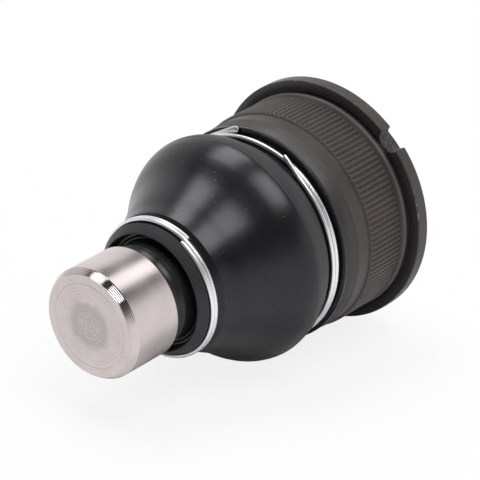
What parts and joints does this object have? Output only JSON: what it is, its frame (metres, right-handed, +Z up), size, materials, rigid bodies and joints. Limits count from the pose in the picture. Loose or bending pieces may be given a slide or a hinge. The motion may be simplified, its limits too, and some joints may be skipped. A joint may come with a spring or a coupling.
{
  "type": "suspension ball joint",
  "caption": "Press-in suspension ball joint: knurled flanged housing, rubber dust boot with wire clamp rings, and a swivelling ball pin with a pinch-bolt waist.",
  "frame": {"origin": "centre of the ball, on the axis of the housing, inside the land that is pressed into the arm", "axes": "+Y along the joint's axis from the pin to the flange, so the pin points along -Y; +Z up with the joint lying on its side; +X to the right, with the rim notch between +Z and +X"},
  "size_m": [0.0504, 0.0743, 0.0504],
  "materials": {
    "phosphated_steel": "dark brown-grey phosphate over forged and turned steel, nearly matt",
    "spring_steel": "plain spring steel",
    "bearing_plastic": "natural off-white acetal",
    "turned_steel": "bright turned steel",
    "boot_rubber": "black moulded rubber, semi-gloss",
    "zinc_wire": "bright zinc-plated spring wire"
  },
  "bodies": {
    "housing_body": {"housing": "phosphated_steel", "end_cap": "phosphated_steel", "disc_spring": "spring_steel", "thrust_pad": "bearing_plastic", "dust_boot": "boot_rubber", "boot_ring_large": "zinc_wire"},
    "seat_body": {"ball_seat": "bearing_plastic"},
    "collar_body": {"boot_ring_small": "zinc_wire"},
    "pin_body": {"ball_pin": "turned_steel"}
  },
  "joints": [
    {"name": "swing_direction", "type": "hinge", "parent": "housing_body", "child": "seat_body", "pos_m": [0, 0, 0], "axis": [0, 1, 0], "continuous": true},
    {"name": "pin_tilt", "type": "hinge", "parent": "seat_body", "child": "collar_body", "pos_m": [0, 0, 0], "axis": [1, 0, 0], "range_deg": [-25, 25], "deforming": ["dust_boot"]},
    {"name": "pin_spin", "type": "hinge", "parent": "collar_body", "child": "pin_body", "pos_m": [0, 0, 0], "axis": [0, 1, 0], "continuous": true}
  ]
}
